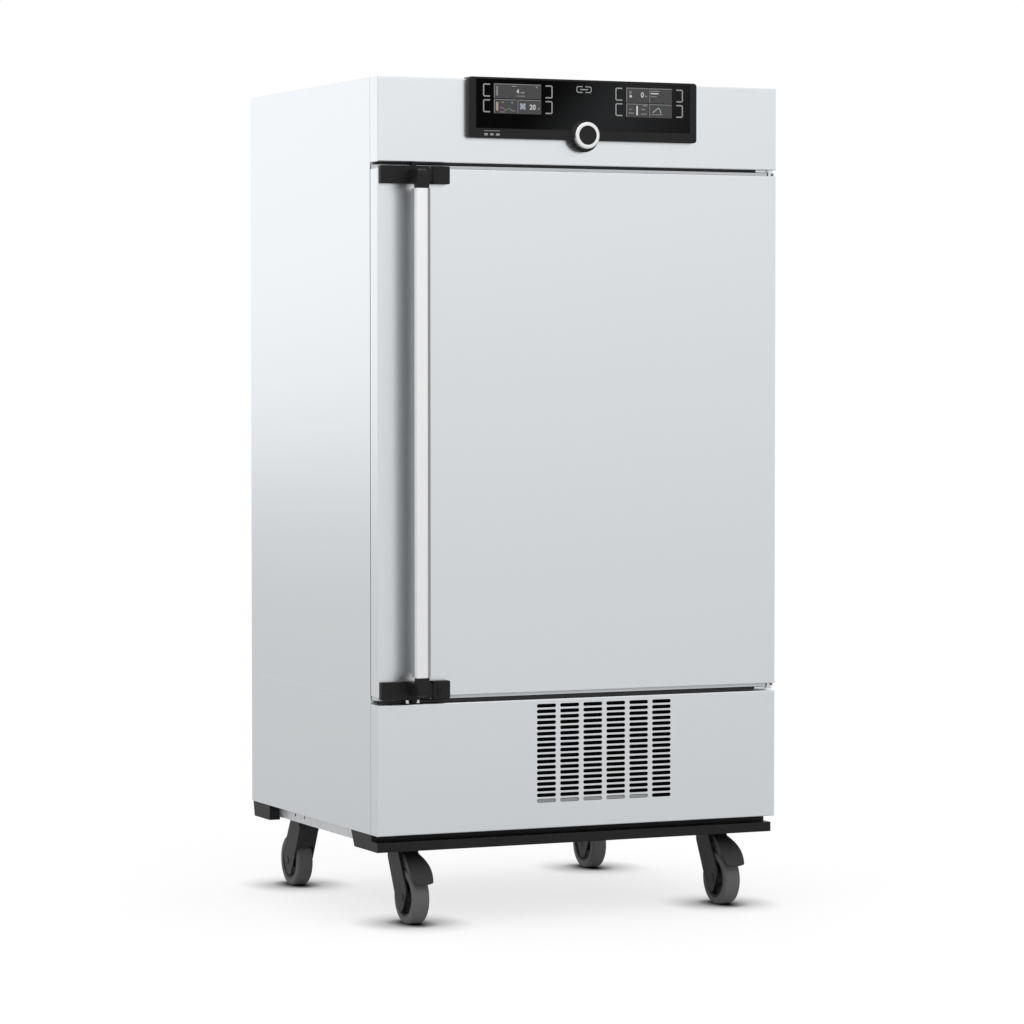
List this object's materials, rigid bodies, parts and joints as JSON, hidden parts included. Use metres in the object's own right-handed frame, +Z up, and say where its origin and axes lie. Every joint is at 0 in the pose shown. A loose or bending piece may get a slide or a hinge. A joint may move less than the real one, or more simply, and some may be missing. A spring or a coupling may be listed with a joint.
{
  "type": "cooled incubator",
  "caption": "Free-standing cooled incubator on castors with an insulated door, lever-lock handle, inner glass door, wire shelves and a touch control panel with turn ring.",
  "frame": {"origin": "on the floor under the middle of the outer box, handle and rear wheels included", "axes": "+Z up, the front with door and control panel faces -Y, +X to the right seen from the front"},
  "size_m": [0.824, 0.748, 1.5692],
  "materials": {
    "textured_steel": "light grey steel with a fine embossed texture",
    "galvanised_steel": "dull zinc",
    "stainless_steel": "brushed",
    "stainless_wire": "electropolished",
    "door_profile": "matt grey",
    "foam": "rigid foam",
    "seal_rubber": "matt black silicone",
    "black_plastic": "matt black",
    "filter_black": "open foam",
    "bar_metal": "fine satin",
    "ring_metal": "turned",
    "panel_glass": "gloss black",
    "display": "gloss",
    "door_glass": "clear",
    "electronics": "satin",
    "machine_black": "gloss black",
    "fins": "mill",
    "copper": "drawn",
    "fan_black": "moulded",
    "motor_grey": "satin",
    "castor_plastic": "moulded dark grey",
    "castor_tread": "soft grey tread"
  },
  "bodies": {
    "cabinet": {"top_fascia": "textured_steel", "lower_front_panel": "textured_steel", "air_filter": "filter_black", "side_panel_left": "textured_steel", "side_panel_right": "textured_steel", "top_cover": "textured_steel", "rear_panel": "galvanised_steel", "rear_cover": "galvanised_steel", "front_frame": "stainless_steel", "chamber_liner": "stainless_steel", "chamber_insulation": "foam", "heating_mats": "foam", "air_baffle": "stainless_steel", "circulation_motor": "motor_grey", "temperature_sensor": "stainless_wire", "wire_shelves": "stainless_wire", "inner_door_hinge_pins": "stainless_steel", "inner_door_seal": "seal_rubber", "door_hinge_plates": "stainless_steel", "lock_rollers": "stainless_wire", "control_bezel": "black_plastic", "control_glass": "panel_glass", "display_modules": "display", "control_electronics": "electronics", "compressor": "machine_black", "condenser": "fins", "condenser_fan_housing": "fan_black", "refrigerant_tubes": "copper", "power_inlet": "black_plastic", "base_trim": "black_plastic", "base_frame": "galvanised_steel", "castor_heads": "castor_plastic"},
    "door": {"door_skin": "textured_steel", "door_frame": "door_profile", "door_insulation": "foam", "door_liner": "stainless_steel", "door_gasket": "seal_rubber", "handle_pivot_blocks": "black_plastic"},
    "handle": {"handle_levers": "black_plastic", "handle_bar": "bar_metal"},
    "inner_door": {"inner_glass_pane": "door_glass", "inner_door_fittings": "stainless_steel"},
    "turn_ring": {"turn_ring": "ring_metal"},
    "confirm_key": {"confirm_key": "black_plastic"},
    "circulation_fan": {"circulation_fan": "fan_black"},
    "condenser_fan": {"condenser_fan": "fan_black"},
    "castor_front_left": {"castor_fork_front_left": "castor_plastic"},
    "wheel_front_left": {"castor_tyre_front_left": "castor_tread", "castor_wheel_front_left": "castor_plastic"},
    "pedal_front_left": {"brake_pedal_front_left": "castor_plastic"},
    "castor_front_right": {"castor_fork_front_right": "castor_plastic"},
    "wheel_front_right": {"castor_tyre_front_right": "castor_tread", "castor_wheel_front_right": "castor_plastic"},
    "pedal_front_right": {"brake_pedal_front_right": "castor_plastic"},
    "castor_rear_left": {"castor_fork_rear_left": "castor_plastic"},
    "wheel_rear_left": {"castor_tyre_rear_left": "castor_tread", "castor_wheel_rear_left": "castor_plastic"},
    "castor_rear_right": {"castor_fork_rear_right": "castor_plastic"},
    "wheel_rear_right": {"castor_tyre_rear_right": "castor_tread", "castor_wheel_rear_right": "castor_plastic"}
  },
  "joints": [
    {"name": "door_hinge", "type": "hinge", "parent": "cabinet", "child": "door", "pos_m": [0.402, -0.308, 0.913], "axis": [0, 0, 1], "range_deg": [0, 170]},
    {"name": "handle_pull", "type": "hinge", "parent": "door", "child": "handle", "pos_m": [-0.304, -0.326, 0.913], "axis": [0, 0, 1], "range_deg": [0, 25]},
    {"name": "inner_door_hinge", "type": "hinge", "parent": "cabinet", "child": "inner_door", "pos_m": [0.322, -0.2743, 0.915], "axis": [0, 0, 1], "range_deg": [0, 105]},
    {"name": "ring_turn", "type": "hinge", "parent": "cabinet", "child": "turn_ring", "pos_m": [0, -0.331, 1.4657], "axis": [0, -1, 0], "continuous": true},
    {"name": "key_press", "type": "slide", "parent": "cabinet", "child": "confirm_key", "axis": [0, 1, 0], "range_m": [0, 0.0015], "stiffness_N_per_m": 400},
    {"name": "circulation_fan_spin", "type": "hinge", "parent": "cabinet", "child": "circulation_fan", "pos_m": [0, 0.2157, 0.915], "axis": [0, 1, 0], "continuous": true},
    {"name": "condenser_fan_spin", "type": "hinge", "parent": "cabinet", "child": "condenser_fan", "pos_m": [0.0485, -0.1985, 0.268], "axis": [0, 1, 0], "continuous": true},
    {"name": "swivel_front_left", "type": "hinge", "parent": "cabinet", "child": "castor_front_left", "pos_m": [-0.324, -0.229, 0.12], "axis": [0, 0, 1], "continuous": true},
    {"name": "roll_front_left", "type": "hinge", "parent": "castor_front_left", "child": "wheel_front_left", "pos_m": [-0.324, -0.267, 0.05], "axis": [1, 0, 0], "continuous": true},
    {"name": "brake_front_left", "type": "hinge", "parent": "castor_front_left", "child": "pedal_front_left", "pos_m": [-0.324, -0.245, 0.112], "axis": [1, 0, 0], "range_deg": [0, 5]},
    {"name": "swivel_front_right", "type": "hinge", "parent": "cabinet", "child": "castor_front_right", "pos_m": [0.324, -0.229, 0.12], "axis": [0, 0, 1], "continuous": true},
    {"name": "roll_front_right", "type": "hinge", "parent": "castor_front_right", "child": "wheel_front_right", "pos_m": [0.324, -0.267, 0.05], "axis": [1, 0, 0], "continuous": true},
    {"name": "brake_front_right", "type": "hinge", "parent": "castor_front_right", "child": "pedal_front_right", "pos_m": [0.324, -0.245, 0.112], "axis": [1, 0, 0], "range_deg": [0, 5]},
    {"name": "swivel_rear_left", "type": "hinge", "parent": "cabinet", "child": "castor_rear_left", "pos_m": [-0.324, 0.286, 0.12], "axis": [0, 0, 1], "continuous": true},
    {"name": "roll_rear_left", "type": "hinge", "parent": "castor_rear_left", "child": "wheel_rear_left", "pos_m": [-0.324, 0.324, 0.05], "axis": [1, 0, 0], "continuous": true},
    {"name": "swivel_rear_right", "type": "hinge", "parent": "cabinet", "child": "castor_rear_right", "pos_m": [0.324, 0.286, 0.12], "axis": [0, 0, 1], "continuous": true},
    {"name": "roll_rear_right", "type": "hinge", "parent": "castor_rear_right", "child": "wheel_rear_right", "pos_m": [0.324, 0.324, 0.05], "axis": [1, 0, 0], "continuous": true}
  ],
  "couplings": [
    {"joint": "inner_door_hinge", "follows": "door_hinge", "ratio": 0.6}
  ]
}
